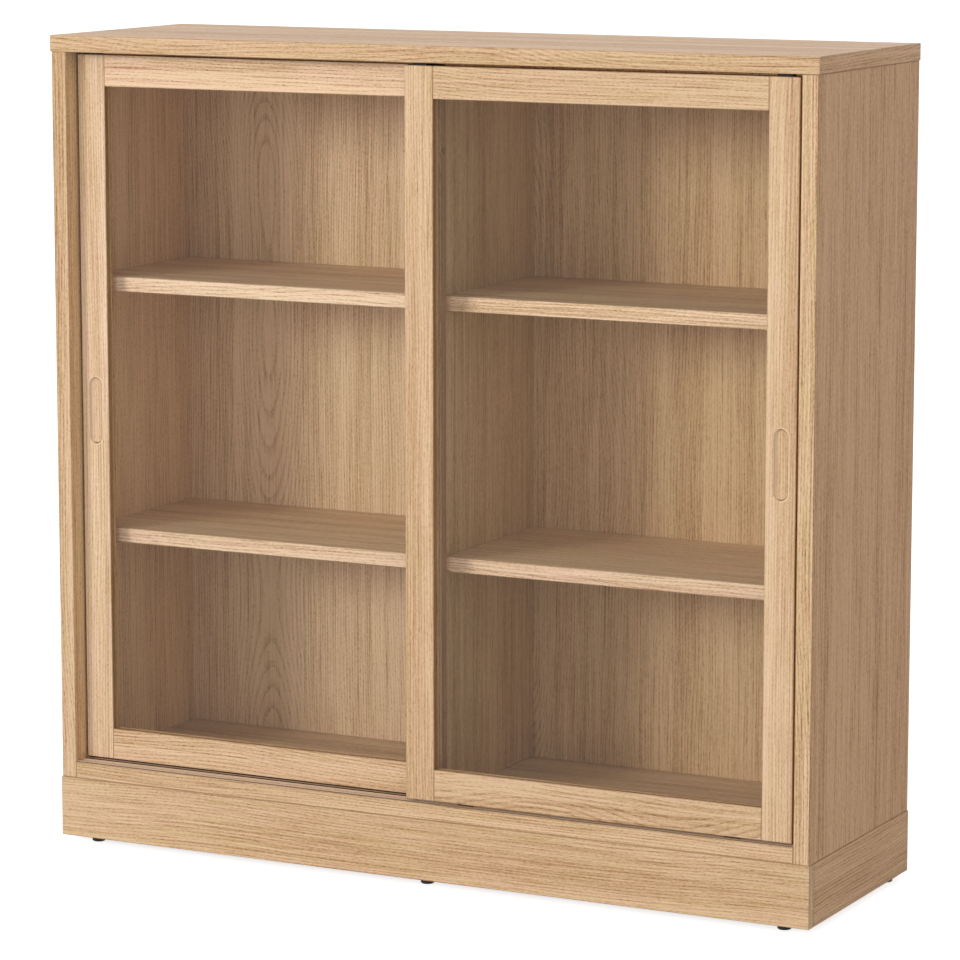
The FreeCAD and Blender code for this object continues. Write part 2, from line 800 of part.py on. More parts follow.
guide = Piece("top_guide", keep=False)
guide.block(
    ("-guide_length / 2", "-guide_width / 2", "0"),
    ("guide_length", "guide_width", "guide_plate"),
)
guide.block(("-fin_length / 2", "-fin_thickness / 2", "0"), ("fin_length", "fin_thickness", "fin_height"))
for sign in (-1, 1):
    guide_hole = (f"{sign} * guide_screw_offset", "0", "0")
    head_seat = moved(guide_hole, UP, "guide_plate - guide_screw_head_height")
    guide.bore(guide_hole, UP, "guide_screw_radius + hole_fit", "guide_plate")
    guide.bore(head_seat, UP, "guide_screw_head_radius + hole_fit", "guide_screw_head_height")

guide_screw = screw("guide_screw", "guide_screw_head_height")

bumper = Piece("door_bumper", keep=False)
bumper.round(ORIGIN, UP, "bumper_radius", "bumper_thickness")


def finger_recess(stile):
    """An oblong dish with round ends, milled into the middle of the stile's front face."""
    sketch = stile.body.newObject("Sketcher::SketchObject", f"{stile.label}_recess_outline")
    front_plane = next(plane for plane in stile.body.Origin.OriginFeatures if plane.Role == "XZ_Plane")
    sketch.AttachmentSupport = (front_plane, [""])
    sketch.MapMode = "FlatFace"

    # A rough outline, which the constraints below bring to its size and place.
    column, low, high, radius = 20, 400, 480, 10
    normal = Vector(*UP)
    upper_circle = Part.Circle(Vector(column, high, 0), normal, radius)
    lower_circle = Part.Circle(Vector(column, low, 0), normal, radius)
    right_end, left_end = column + radius, column - radius
    sketch.addGeometry(
        [
            Part.LineSegment(Vector(right_end, low, 0), Vector(right_end, high, 0)),
            Part.ArcOfCircle(upper_circle, 0, math.pi),
            Part.LineSegment(Vector(left_end, high, 0), Vector(left_end, low, 0)),
            Part.ArcOfCircle(lower_circle, math.pi, 2 * math.pi),
        ],
        False,
    )
    right_line, upper_arc, left_line, lower_arc = range(4)
    start_point, end_point, center_point = 1, 2, 3
    origin_point = (-1, 1)
    around = (right_line, upper_arc, left_line, lower_arc)
    for this, following in zip(around, around[1:] + around[:1]):
        sketch.addConstraint(Constraint("Tangent", this, end_point, following, start_point))
    sketch.addConstraint(Constraint("Vertical", right_line))
    sketch.addConstraint(Constraint("Equal", upper_arc, lower_arc))
    upper_center = (*origin_point, upper_arc, center_point)
    lower_center = (*origin_point, lower_arc, center_point)
    for name, constraint, text in (
        ("end_radius", Constraint("Radius", upper_arc, radius), "recess_width / 2"),
        ("column", Constraint("DistanceX", *upper_center, column), "stile_width / 2"),
        ("top", Constraint("DistanceY", *upper_center, high), "door_height / 2 + recess_half_length"),
        ("bottom", Constraint("DistanceY", *lower_center, low), "door_height / 2 - recess_half_length"),
    ):
        sketch.renameConstraint(sketch.addConstraint(constraint), name)
        sketch.setExpression(f"Constraints.{name}", formula(text))
    doc.recompute()

    pocket = stile.add("Pocket")
    pocket.Profile = sketch
    bind(pocket, Length="recess_depth")
    doc.recompute()
    outline_box = sketch.Shape.BoundBox
    outline_box.enlarge(0.01)
    depth = pocket.Length.Value
    for level, radius in ((0, "recess_rim_radius"), (depth, "recess_cove_radius")):
        outline_box.move(Vector(0, level, 0))
        fillet = stile.add("Fillet")
        carved = stile.body.Group[-2]
        fillet.Base = (carved, edges_inside(carved.Shape, outline_box))
        bind(fillet, Radius=radius)
        doc.recompute()


def door_frame(door, start, face):
    """The four boards of a door's frame, each rebated from behind for the glass."""
    rail_start = f"{start} + stile_width"
    right_stile_start = f"{rail_start} + rail_length"
    stile_size = ("stile_width", "door_thickness", "door_height")
    rail_size = ("rail_length", "door_thickness", "rail_height")
    left_stile = board(f"{door}_left_stile", (start, face, "door_bottom"), stile_size)
    right_stile = board(f"{door}_right_stile", (right_stile_start, face, "door_bottom"), stile_size)
    bottom_rail = board(f"{door}_bottom_rail", (rail_start, face, "door_bottom"), rail_size)
    top_rail = board(f"{door}_top_rail", (rail_start, face, "door_top - rail_height"), rail_size)
    rebate_corner = (
        f"{rail_start} - glass_rebate",
        f"{face} + glass_lip",
        "door_bottom + rail_height - glass_rebate",
    )
    for frame_piece in (left_stile, right_stile, bottom_rail, top_rail):
        frame_piece.slot(rebate_corner, ("rebate_width", "door_thickness", "rebate_height"))

    dowel_places = []
    for stile, rail_end in ((left_stile, rail_start), (right_stile, right_stile_start)):
        for rail, edge, inward in ((bottom_rail, "door_bottom", 1), (top_rail, "door_top", -1)):
            for step in (0, 1):
                depth = f"(frame_dowel_inset + {step} * frame_dowel_spacing)"
                dowel_start = (
                    f"{rail_end} - frame_dowel_length / 2",
                    f"{face} + door_middle",
                    f"{edge} + {inward} * {depth}",
                )
                hole_start = moved(dowel_start, LEFT, "end_play")
                for holder in (stile, rail):
                    holder.bore(
                        hole_start, RIGHT, "small_hole_radius", "frame_dowel_length + 2 * end_play"
                    )
                dowel_places.append((dowel_start, RIGHT))
    copies(f"{door}_dowels", frame_dowel, dowel_places)
    return left_stile, right_stile, bottom_rail, rebate_corner


def door_glass(door, rebate_corner):
    """The pane, laid in the rebate from behind, and the four beads that hold it there."""
    left, front_face, bottom = rebate_corner
    pane = Piece(
        f"{door}_glass", (f"{left} + glass_edge_gap", front_face, f"{bottom} + glass_edge_gap")
    )
    pane.block(
        pane.origin,
        (
            "rebate_width - 2 * glass_edge_gap",
            "glass_thickness",
            "rebate_height - 2 * glass_edge_gap",
        ),
    )
    bead_face = f"{front_face} + glass_thickness + bead_gap"
    low = f"{bottom} + bead_gap"
    inner_left = f"{left} + glass_rebate"
    upright_size = ("bead_width", "bead_depth", "rebate_height - 2 * bead_gap")
    lying_size = ("rail_length", "bead_depth", "bead_width")
    beads = []
    for name, column, height, size in (
        ("left", f"{left} + bead_gap", low, upright_size),
        ("right", f"{inner_left} + rail_length", low, upright_size),
        ("lower", inner_left, low, lying_size),
        ("upper", inner_left, f"{bottom} + rebate_height - glass_rebate", lying_size),
    ):
        bead = Piece(f"{door}_{name}_bead", (column, bead_face, height), keep=False)
        bead.block(bead.origin, size)
        beads.append(bead.body)
    group(f"{door}_glass_beads", beads)


def door_rollers(door, bottom_rail, line, columns):
    """Rollers on axles in housings let into the bottom rail, standing in the bottom track."""
    housing_places = []
    axle_places = []
    for name, column in columns:
        bottom_rail.slot(
            (
                f"{column} - housing_length / 2 - housing_fit",
                f"{line} - housing_width / 2 - housing_fit",
                "door_bottom",
            ),
            (
                "housing_length + 2 * housing_fit",
                "housing_width + 2 * housing_fit",
                "housing_height + housing_fit",
            ),
        )
        housing_places.append(((column, line, "door_bottom"),))
        axle_places.append(((column, f"{line} - axle_length / 2", "roller_axis"), BACK))
        hub = (column, f"{line} - roller_thickness / 2", "roller_axis")
        roller = Piece(f"{door}_{name}_roller", hub)
        wheel = roller.round(hub, BACK, "roller_radius", "roller_thickness")
        doc.recompute()
        rims = [f"Edge{n}" for n, edge in enumerate(wheel.Shape.Edges, start=1) if edge.isClosed()]
        roller.chamfer(rims, "roller_rim_chamfer")
        roller.bore(hub, BACK, "axle_radius + axle_fit", "roller_thickness")
    copies(f"{door}_roller_housings", housing, housing_places)
    copies(f"{door}_roller_axles", axle, axle_places)


def door_guides(door, line, stiles):
    """Guides screwed to the stiles' top ends, with fins that run in the top track."""
    guide_places = []
    screw_places = []
    for stile, column in stiles:
        guide_places.append(((column, line, "door_top"),))
        for sign in (-1, 1):
            head_end = (f"{column} + {sign} * guide_screw_offset", line, "door_top + guide_plate")
            stile.bore(head_end, DOWN, "guide_screw_radius + hole_fit", "guide_screw_length + end_play")
            screw_places.append((head_end, DOWN))
    copies(f"{door}_top_guides", guide, guide_places)
    copies(f"{door}_guide_screws", guide_screw, screw_places)


def door_bumpers(door, line, edges):
    """Bumpers stuck to the door's two edges, which land on the side panels."""
    bumper_places = [
        ((column, line, height), axis)
        for column, axis in edges
        for height in ("door_bottom + bumper_inset", "door_top - bumper_inset")
    ]
    copies(f"{door}_bumpers", bumper, bumper_places)


def build_door(door, start, face, recess_side):
    """A glazed frame with its running gear; face is the place of its front face."""
    end = f"{start} + door_width"
    line = f"{face} + door_middle"
    left_stile, right_stile, bottom_rail, rebate_corner = door_frame(door, start, face)
    door_glass(door, rebate_corner)
    roller_depth = "(stile_width + roller_inset)"
    roller_columns = (("left", f"{start} + {roller_depth}"), ("right", f"{end} - {roller_depth}"))
    door_rollers(door, bottom_rail, line, roller_columns)
    guide_stiles = ((left_stile, f"{start} + guide_center"), (right_stile, f"{end} - guide_center"))
    door_guides(door, line, guide_stiles)
    door_bumpers(door, line, ((start, LEFT), (end, RIGHT)))
    finger_recess(left_stile if recess_side == "left" else right_stile)


build_door("left_door", "left_door_start", "rear_door_face", "left")
build_door("right_door", "right_door_start", "front_door_face", "right")

# ---- brackets that tie the cabinet to a wall ------------------------------------------------

# Each bracket's origin is its rear upper corner's middle: one leg under the top, one down the wall.
bracket = Piece("wall_bracket", keep=False)
bracket.block(
    ("-bracket_width / 2", "-bracket_depth", "-bracket_metal"),
    ("bracket_width", "bracket_depth", "bracket_metal"),
)
bracket.block(
    ("-bracket_width / 2", "-bracket_metal", "-bracket_drop"),
    ("bracket_width", "bracket_metal", "bracket_drop"),
)
bracket_screw_hole = ("0", "-bracket_screw_inset", "-bracket_metal")
bracket.bore(bracket_screw_hole, UP, "bracket_screw_radius + hole_fit", "bracket_metal")
bracket.bore(("0", "-bracket_metal", "-wall_hole_drop"), BACK, "wall_hole_radius", "bracket_metal")

# The screw's origin is under its head, which bears on the bracket from below.
bracket_screw = Piece("bracket_screw", keep=False)
bracket_screw.round(
    ("0", "0", "-screw_head_height"), UP, "bracket_screw_head_radius", "screw_head_height"
)
bracket_screw.round(ORIGIN, UP, "bracket_screw_radius", "bracket_screw_length")

bracket_spots = []
bracket_screw_spots = []
for column in ("-bracket_center", "bracket_center"):
    seat = (column, "rear - bracket_screw_inset", "ceiling - bracket_metal")
    top_panel.bore(seat, UP, "bracket_screw_radius + hole_fit", "bracket_screw_length + end_play")
    bracket_spots.append(((column, "rear", "ceiling"),))
    bracket_screw_spots.append((seat,))
copies("wall_brackets", bracket, bracket_spots)
copies("wall_bracket_screws", bracket_screw, bracket_screw_spots)

# ---- check and export -----------------------------------------------------------------------

doc.recompute()
for obj in doc.Objects:
    if "Invalid" in obj.State or "Error" in obj.State:
        raise RuntimeError(f"{obj.Label} failed: {obj.State}")
for part in subparts:
    if part.Shape.isNull() or not part.Shape.isValid() or not part.Shape.Solids:
        raise RuntimeError(f"{part.Label} has no valid solid")

os.makedirs("parts", exist_ok=True)
for part in subparts:
    part.Shape.exportStep(f"parts/{part.Label}.step")
print(f"{len(subparts)} sub-parts, {sum(len(part.Shape.Solids) for part in subparts)} solids")
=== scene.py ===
"""Looks for the oak bookcase with two sliding glass doors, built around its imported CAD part."""

import math

import bpy
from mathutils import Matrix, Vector


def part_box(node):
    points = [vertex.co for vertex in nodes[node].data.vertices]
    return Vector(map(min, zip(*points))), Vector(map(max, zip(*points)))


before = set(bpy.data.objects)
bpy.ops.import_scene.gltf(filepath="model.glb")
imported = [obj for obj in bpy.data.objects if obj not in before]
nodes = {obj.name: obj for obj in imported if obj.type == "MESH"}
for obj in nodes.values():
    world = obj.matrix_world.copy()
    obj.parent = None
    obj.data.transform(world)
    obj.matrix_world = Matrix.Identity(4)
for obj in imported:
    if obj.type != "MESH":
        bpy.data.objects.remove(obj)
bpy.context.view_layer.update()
scene = bpy.context.scene

X, Y, Z = range(3)
# Millimetres in a metre.
MM = 1000
DOORS = ("left_door", "right_door")

# ---- camera ------------------------------------------------------------------------------------

# The camera was solved from the photograph's straight edges. Its lens isn't shifted, because a shift as large as the
# photograph's would push the object out of the other views.
CAMERA_PLACE = (2.7239, -5.3452, 1.5193)
CAMERA_LENS_MM = 157.2
CAMERA_SENSOR_MM = 36
CAMERA_TILT_DOWN = 0.1580
CAMERA_TURN_LEFT = 0.4707

camera = bpy.data.objects.new("camera", bpy.data.cameras.new("camera"))
camera.data.lens = CAMERA_LENS_MM
camera.data.sensor_width = CAMERA_SENSOR_MM
camera.data.clip_start = 0.1
camera.data.clip_end = 200
camera.location = CAMERA_PLACE
camera.rotation_euler = (math.pi / 2 - CAMERA_TILT_DOWN, 0, CAMERA_TURN_LEFT)
scene.collection.objects.link(camera)
scene.camera = camera


# ---- building node trees -----------------------------------------------------------------------

def rgb(red, green, blue):
    """A colour written as it shows on screen, as the linear colour that a shader takes."""
    linear = [
        part / 12.92 if part <= 0.04045 else ((part + 0.055) / 1.055) ** 2.4
        for part in (red / 255, green / 255, blue / 255)
    ]
    return (*linear, 1)


class Tree:
    """Adds nodes to a node tree. A value given for a socket is a number, a colour or another socket."""

    def __init__(self, tree):
        self.tree = tree

    def put(self, socket, value):
        if isinstance(value, bpy.types.NodeSocket):
            self.tree.links.new(value, socket)
        else:
            socket.default_value = value

    def add(self, kind, inputs=None, **settings):
        node = self.tree.nodes.new("ShaderNode" + kind)
        for name, value in settings.items():
            setattr(node, name, value)
        for key, value in (inputs or {}).items():
            self.put(node.inputs[key], value)
        return node

    def math(self, operation, *values):
        return self.add("Math", dict(enumerate(values)), operation=operation).outputs[0]

    def total(self, first, *others):
        for value in others:
            first = self.math("ADD", first, value)
        return first

    def swing(self, pattern, size):
        """A pattern of 0 to 1 as a swing of the given size about 0."""
        return self.math("MULTIPLY", self.math("SUBTRACT", pattern, 0.5), size)

    def distance(self, aside, ahead):
        return self.math("SQRT", self.math("MULTIPLY_ADD", aside, aside, self.math("POWER", ahead, 2.0)))

    def scaled(self, value, low, high, to_low=0.0, to_high=1.0):
        """The value with low..high carried to to_low..to_high, and held at those ends."""
        return self.add("MapRange", {0: value, 1: low, 2: high, 3: to_low, 4: to_high}).outputs[0]

    def vector(self, *parts):
        return self.add("CombineXYZ", dict(enumerate(parts))).outputs[0]

    def shrunk(self, point, *sizes):
        """The point counted in the given sizes, one for each direction."""
        return self.vector(*(self.math("DIVIDE", part, size) for part, size in zip(point, sizes)))

    def noise(self, vector, detail=2.0, roughness=0.5):
        inputs = {"Vector": vector, "Scale": 1.0, "Detail": detail, "Roughness": roughness}
        return self.add("TexNoise", inputs).outputs[0]

    # A Mix node's sockets 2 and 3 take numbers, and its sockets 6 and 7 take colours.

    def choose(self, share, first, second):
        """The first number where the share is 0, and the second where it is 1."""
        return self.add("Mix", {0: share, 2: first, 3: second}, data_type="FLOAT").outputs[0]

    def mix(self, share, first, second, blend="MIX"):
        """The first colour where the share is 0, and the second, or the blend of both, where it is 1."""
        inputs = {0: share, 6: first, 7: second}
        return self.add("Mix", inputs, data_type="RGBA", blend_type=blend).outputs[2]

    def ramp(self, share, stops):
        node = self.add("ValToRGB", {0: share})
        elements = node.color_ramp.elements
        while len(elements) < len(stops):
            elements.new(0.5)
        for element, (place, colour) in zip(elements, stops):
            element.position = place
            element.color = colour
        return node.outputs[0]


def material(name):
    """A new material with its tree, its Principled shader and its output."""
    made = bpy.data.materials.new(name)
    made.use_nodes = True
    made.node_tree.nodes.clear()
    tree = Tree(made.node_tree)
    shader = tree.add("BsdfPrincipled")
    output = tree.add("OutputMaterial", {"Surface": shader.outputs[0]})
    return made, tree, shader, output


def dress(name, made):
    """Gives a CAD node one material."""
    mesh = nodes[name].data
    mesh.materials.clear()
    mesh.materials.append(made)
    for face in mesh.polygons:
        face.material_index = 0


def place_mm(tree):
    """The surface point in millimetres, and the surface's direction, each split into x, y and z."""
    coordinates = tree.add("TexCoord")
    point = tree.add("VectorMath", {0: coordinates.outputs["Object"], 1: (MM, MM, MM)}, operation="MULTIPLY")
    split_point = tree.add("SeparateXYZ", {0: point.outputs[0]})
    split_normal = tree.add("SeparateXYZ", {0: coordinates.outputs["Normal"]})
    return list(split_point.outputs), list(split_normal.outputs)


# The rise of the surface, in metres, that a height of 1 stands for.
BUMP_DEPTH = 0.0002


def add_bump(tree, shader, height, strength):
    bump = tree.add("Bump", {"Strength": strength, "Distance": BUMP_DEPTH, "Height": height})
    tree.put(shader.inputs["Normal"], bump.outputs[0])


# ---- oak: the veneer ---------------------------------------------------------------------------

# The veneer is laid in leaves. A leaf is cut near the heart of its log, which gives arches, or far from it, which
# gives straight grain. A ring is a circle round the heart, and the heart's depth behind the cut changes slowly.
# Lengths are in millimetres, but HEART_ASIDE and JOINT_STEP are in leaf widths.
LEAF_WIDTH = 120.0
HEART_ASIDE = 1.1
HEART_DEPTHS = (3.0, 85.0)
ARCH_LENGTH = 620.0
RINGS_PER_MM = 0.23
# How far a seed moves the noise and the leaves' joints, and how far a leaf moves the noise, so that no two are alike.
SEED_STEP = 17.31
JOINT_STEP = 0.37
LEAF_STEP = 3.1
# The level of the white noise at which the leaves' chances are read.
CHANCE_LEVEL = 3.7
OAK_SHADES = (
    (0.0, rgb(236, 205, 168)),
    (0.3, rgb(220, 185, 146)),
    (0.6, rgb(197, 158, 116)),
    (1.0, rgb(152, 112, 74)),
)
# The hue drifts between a touch of yellow and a touch of pink.
YELLOWER = (0.99, 0.995, 0.94, 1)
PINKER = (1.02, 0.985, 1.01, 1)


def oak_group():
    """Oak veneer as a pattern in millimetres across and along the board."""
    group = bpy.data.node_groups.new("oak_veneer", "ShaderNodeTree")
    for name in ("Across", "Along", "Seed", "Figured", "Contrast"):
        group.interface.new_socket(name, in_out="INPUT", socket_type="NodeSocketFloat")
    for name, kind in (("Color", "Color"), ("Roughness", "Float"), ("Height", "Float")):
        group.interface.new_socket(name, in_out="OUTPUT", socket_type="NodeSocket" + kind)
    tree = Tree(group)
    given = group.nodes.new("NodeGroupInput").outputs
    result = group.nodes.new("NodeGroupOutput")
    seed = given["Seed"]
    shift = tree.math("MULTIPLY", seed, SEED_STEP)

    def pattern(width, length, detail=1.0, roughness=0.5, offset=0.0):
        """Noise in streaks of the given width and length. The offset sets it apart from the others."""
        across = tree.math("ADD", tree.math("DIVIDE", given["Across"], width), shift)
        along = tree.math("ADD", tree.math("DIVIDE", given["Along"], length), tree.math("ADD", shift, offset))
        return tree.noise(tree.vector(across, along, shift), detail, roughness)

    leaf_place = tree.math(
        "ADD", tree.math("DIVIDE", given["Across"], LEAF_WIDTH), tree.math("MULTIPLY", seed, JOINT_STEP)
    )
    leaf_number = tree.math("FLOOR", leaf_place)
    chance = tree.add("TexWhiteNoise", {0: tree.vector(leaf_number, seed, CHANCE_LEVEL)}, noise_dimensions="3D")
    heart_chance, figure_chance, tone_chance = tree.add("SeparateColor", {0: chance.outputs["Color"]}).outputs
    # The heart lies in the middle half of its leaf. In a leaf without arches, it is moved beyond the leaf.
    is_straight = tree.math("GREATER_THAN", figure_chance, given["Figured"])
    heart = tree.math(
        "ADD", tree.math("MULTIPLY_ADD", heart_chance, 0.5, 0.25), tree.math("MULTIPLY", is_straight, HEART_ASIDE)
    )
    wander = tree.swing(pattern(80, 800), 15.0)
    ripple = tree.swing(pattern(16, 150, offset=5.0), 2.4)
    in_leaf = tree.math("SUBTRACT", leaf_place, leaf_number)
    from_heart = tree.math(
        "MULTIPLY_ADD", tree.math("SUBTRACT", in_leaf, heart), LEAF_WIDTH, tree.math("ADD", wander, ripple)
    )
    depth_place = tree.vector(
        tree.math("MULTIPLY", leaf_number, LEAF_STEP), tree.math("DIVIDE", given["Along"], ARCH_LENGTH), shift
    )
    depth = tree.scaled(tree.noise(depth_place, 1.0), 0.3, 0.7, *HEART_DEPTHS)
    drift = tree.swing(pattern(160, 700, offset=11.0), 3.0)
    in_ring = tree.math("FRACT", tree.math("MULTIPLY_ADD", tree.distance(from_heart, depth), RINGS_PER_MM, drift))
    early_wood = tree.math(
        "MULTIPLY", tree.scaled(in_ring, 0.0, 0.08), tree.scaled(in_ring, 0.1, 0.5, 1.0, 0.0)
    )

    # Pores are short dark lines, and they show most in the early wood.
    pores = tree.scaled(pattern(0.9, 7, offset=2.0), 0.45, 0.7)
    pore_lines = tree.math("MULTIPLY", pores, tree.math("MULTIPLY_ADD", early_wood, 0.5, 0.5))
    speck = pattern(1.3, 3.6, offset=17.0)
    fibre = pattern(1.4, 95, detail=2.0, roughness=0.7, offset=7.0)
    streak = pattern(4.5, 480, detail=2.0, roughness=0.6, offset=3.0)
    tone = pattern(38, 1500, offset=9.0)
    fine = tree.total(
        tree.math("MULTIPLY_ADD", early_wood, 0.24, -0.22),
        tree.math("MULTIPLY", pore_lines, 0.42),
        tree.swing(speck, 0.55),
        tree.swing(fibre, 1.3),
        tree.swing(streak, 0.9),
    )
    dark = tree.total(
        tree.math("MULTIPLY_ADD", fine, given["Contrast"], 0.38),
        tree.swing(tone, 0.8),
        tree.swing(tone_chance, 0.12),
    )
    hue_share = tree.scaled(pattern(10, 150, detail=2.0, offset=21.0), 0.36, 0.64)
    hue = tree.mix(hue_share, YELLOWER, PINKER)
    tree.put(result.inputs["Color"], tree.mix(1.0, tree.ramp(dark, OAK_SHADES), hue, "MULTIPLY"))

    roughness = tree.math("MULTIPLY_ADD", pore_lines, 0.16, tree.math("MULTIPLY_ADD", fibre, 0.12, 0.42))
    height = tree.math("MULTIPLY_ADD", pore_lines, -0.8, tree.math("MULTIPLY", fibre, 0.35))
    tree.put(result.inputs["Roughness"], roughness)
    tree.put(result.inputs["Height"], height)
    return group


# ---- oak: the boards ---------------------------------------------------------------------------

# A board's length lies along the first of its directions, as its grain does, its width along the second and its
# thickness along the third. The number is the veneer's seed, and the veneer on its edges has a seed of its own.
BOARDS = {
    "top_panel": (X, Y, Z, 1),
    "bottom_panel": (X, Y, Z, 2),
    "left_side_panel": (Z, Y, X, 3),
    "right_side_panel": (Z, Y, X, 4),
    "center_divider": (Z, Y, X, 5),
    "left_upper_shelf": (X, Y, Z, 6),
    "left_lower_shelf": (X, Y, Z, 7),
    "right_upper_shelf": (X, Y, Z, 8),
    "right_lower_shelf": (X, Y, Z, 9),
    "left_back_panel": (Z, X, Y, 10),
    "right_back_panel": (Z, X, Y, 11),
    "front_plinth_board": (X, Z, Y, 12),
    "rear_plinth_board": (X, Z, Y, 13),
    "left_plinth_board": (Y, Z, X, 14),
    "right_plinth_board": (Y, Z, X, 15),
}
for door, frame_seed, beads_seed in zip(DOORS, (20, 24), (30, 31)):
    BOARDS[f"{door}_left_stile"] = (Z, X, Y, frame_seed)
    BOARDS[f"{door}_right_stile"] = (Z, X, Y, frame_seed + 1)
    BOARDS[f"{door}_top_rail"] = (X, Z, Y, frame_seed + 2)
    BOARDS[f"{door}_bottom_rail"] = (X, Z, Y, frame_seed + 3)
    BOARDS[f"{door}_glass_beads"] = (Z, X, Y, beads_seed)
EDGE_SEED_STEP = 7.3

# Each board's veneer has tints of its own: that of its faces, of its long edges and of its ends. Where fewer are
# given, the last one holds for the rest. Some tints are painted light and shade, as marked below.
PLAIN = (1.0, 1.0, 1.0)
# Painted shade: the door frames' long edges are darkened, as they lie in shade beside the glass and in the gaps.
PAINTED_EDGE_SHADE = (0.6, 0.52, 0.42)
# Painted light: the shelves' long edges are lightened, as the light falling on their fronts.
SHELF_TINT_AND_EDGE_LIGHT = ((1.0, 1.05, 1.05), (1.17, 1.14, 1.24))
DOOR_TINT_AND_EDGE_SHADE = ((1.04, 1.05, 1.09), PAINTED_EDGE_SHADE)
TINTS = {
    "top_panel": ((1.12, 1.10, 1.17), (0.96, 0.95, 0.92), (0.94, 0.86, 0.79)),
    "left_side_panel": ((1.06, 1.08, 1.05), (0.98, 0.97, 0.97)),
    # Painted shade: the faces of the right side panel and the right plinth board are darkened and reddened, as the
    # shaded right side.
    "right_side_panel": ((0.92, 0.80, 0.72), (1.03, 1.05, 1.05)),
    "left_plinth_board": ((1.04, 1.04, 1.01), (0.99, 0.92, 0.87)),
    "right_plinth_board": ((0.99, 0.92, 0.87),),
    "front_plinth_board": ((0.98, 0.98, 0.97), (0.98, 0.98, 0.96)),
    "left_back_panel": ((1.02, 1.03, 1.04), PLAIN),
    "right_back_panel": ((0.92, 0.89, 0.80), PLAIN),
    "center_divider": ((0.95, 1.03, 0.95), (0.95, 1.0, 0.95)),
    # Painted light: the shelves' long edge tints lighten their fronts, as the light falling on them.
    "left_upper_shelf": ((1.0, 1.05, 1.05), (1.25, 1.24, 1.37)),
    "left_lower_shelf": SHELF_TINT_AND_EDGE_LIGHT,
    "right_upper_shelf": ((0.96, 1.03, 1.01), (1.32, 1.33, 1.44)),
    "right_lower_shelf": SHELF_TINT_AND_EDGE_LIGHT,
    "bottom_panel": ((0.91, 0.97, 0.98), PLAIN),
    # Painted highlight: the left door's left stile is lightened, as the sheen of the lamp on it.
    "left_door_left_stile": ((1.16, 1.24, 1.39), PAINTED_EDGE_SHADE),
    "left_door_top_rail": ((1.13, 1.12, 1.20), PAINTED_EDGE_SHADE),
    "right_door_top_rail": ((0.96, 0.95, 0.94), PAINTED_EDGE_SHADE),
    "right_door_bottom_rail": ((0.96, 0.95, 0.95), PAINTED_EDGE_SHADE),
}

# How strongly the grain shows: on edges and ends, on the faces of the boards named here, and on other faces, by
# whether their grain runs from side to side.
EDGE_CONTRAST = 1.12
CONTRASTS = {
    "left_back_panel": 1.15,
    "right_back_panel": 1.1,
    "left_side_panel": 1.35,
    "right_side_panel": 1.6,
    "center_divider": 1.1,
    "front_plinth_board": 1.05,
    "left_door_top_rail": 1.15,
    "right_door_top_rail": 1.25,
}
SIDEWAYS_CONTRAST = 1.1
OTHER_CONTRAST = 0.8

# The share of a board's leaves that have arches, where it has any.
FIGURED = {"left_back_panel": 0.5, "right_back_panel": 0.5, "top_panel": 0.5, "right_door_bottom_rail": 1.0}

RECESSED = ("left_door_left_stile", "right_door_right_stile")
RECESS_WIDTH = 20.0
RECESS_LENGTH = 97.0

# A surface faces a direction when more than this much of its normal lies in it.
FACING = 0.8
# Painted shade: a dark line along the boards' edges, standing for the shade in the joints.
PAINTED_JOINT_SHADE = rgb(138, 98, 62)
GAP_SHADE = rgb(48, 36, 26)
# Painted shade and painted light for the finger recess.
BRIM_SHADE_LINE = rgb(120, 80, 46)
BRIM_HIGHLIGHT = rgb(252, 226, 194)
LEFT_WALL_PAINTED_LIGHT = rgb(252, 226, 190)

oak_pattern = oak_group()


def to_nearest_edge(tree, point, halves):
    """The way to the nearest edge, which is the middle one of the ways to the three pairs of faces."""
    ways = [tree.math("SUBTRACT", half, tree.math("ABSOLUTE", part)) for half, part in zip(halves, point)]
    nearer = tree.math("MINIMUM", ways[0], ways[1])
    further = tree.math("MAXIMUM", ways[0], ways[1])
    return tree.math("MAXIMUM", nearer, tree.math("MINIMUM", further, ways[2]))


def paint_recess_light_and_shade(tree, colour, point, normal):
    """Paints light and shade on the finger recess: painted shade as a dark line on its brim, a painted highlight to the
    right of that, and painted light on its left wall.
    """
    half_width = RECESS_WIDTH / 2
    past_straight = tree.math("SUBTRACT", tree.math("ABSOLUTE", point[Z]), RECESS_LENGTH / 2 - half_width)
    reach = tree.distance(point[X], tree.math("MAXIMUM", past_straight, 0.0))
    to_right = tree.scaled(point[X], -3.0, 3.0)

    def off_line(radius):
        return tree.math("ABSOLUTE", tree.math("SUBTRACT", reach, radius))

    on_brim = tree.math(
        "MULTIPLY",
        tree.scaled(off_line(half_width), 0.3, 1.1, 1.0, 0.0),
        tree.scaled(to_right, 0.0, 1.0, 0.3, 0.8),
    )
    beside_brim = tree.math("MULTIPLY", tree.scaled(off_line(half_width + 2.1), 0.5, 1.2, 0.6, 0.0), to_right)
    inside = tree.math("LESS_THAN", reach, half_width + 0.5)
    on_left_wall = tree.math("MULTIPLY", inside, tree.scaled(normal[X], 0.1, 0.7, 0.0, 0.85))
    for share, shade in ((on_brim, BRIM_SHADE_LINE), (beside_brim, BRIM_HIGHLIGHT), (on_left_wall, LEFT_WALL_PAINTED_LIGHT)):
        colour = tree.mix(share, colour, shade)
    return colour


